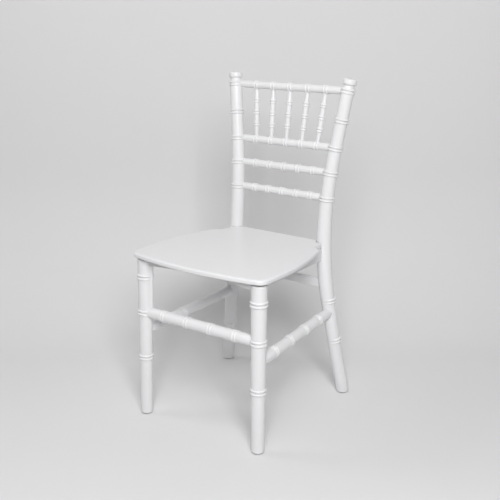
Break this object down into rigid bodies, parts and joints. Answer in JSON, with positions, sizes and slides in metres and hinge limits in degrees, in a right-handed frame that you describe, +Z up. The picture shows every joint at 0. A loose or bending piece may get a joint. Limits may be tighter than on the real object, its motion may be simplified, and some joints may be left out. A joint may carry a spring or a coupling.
{
  "type": "chiavari chair",
  "caption": "Small white chiavari chair with turned rings, bent rear posts, ladder back with a row of spindles, and a flat bowed seat.",
  "frame": {"origin": "on the floor under the middle of the chair's bounding box", "axes": "+Z up, the seat's front edge faces -Y, +X to the right of someone who looks at the chair's front"},
  "size_m": [0.3064, 0.3354, 0.6177],
  "materials": {
    "resin": "satin",
    "glide": "matte"
  },
  "bodies": {
    "root": {"seat_panel": "resin", "front_apron": "resin", "side_apron_left": "resin", "side_apron_right": "resin", "front_leg_left": "resin", "front_leg_right": "resin", "rear_post_left": "resin", "rear_post_right": "resin", "finial_left": "resin", "finial_right": "resin", "top_rail": "resin", "spindle_rail": "resin", "upper_back_rail": "resin", "lower_back_rail": "resin", "spindle_1": "resin", "spindle_2": "resin", "spindle_3": "resin", "spindle_4": "resin", "spindle_5": "resin", "front_stretcher": "resin", "side_stretcher_left": "resin", "side_stretcher_right": "resin", "rear_rail": "resin", "glide_front_left": "glide", "glide_front_right": "glide", "glide_rear_left": "glide", "glide_rear_right": "glide"}
  },
  "joints": []
}
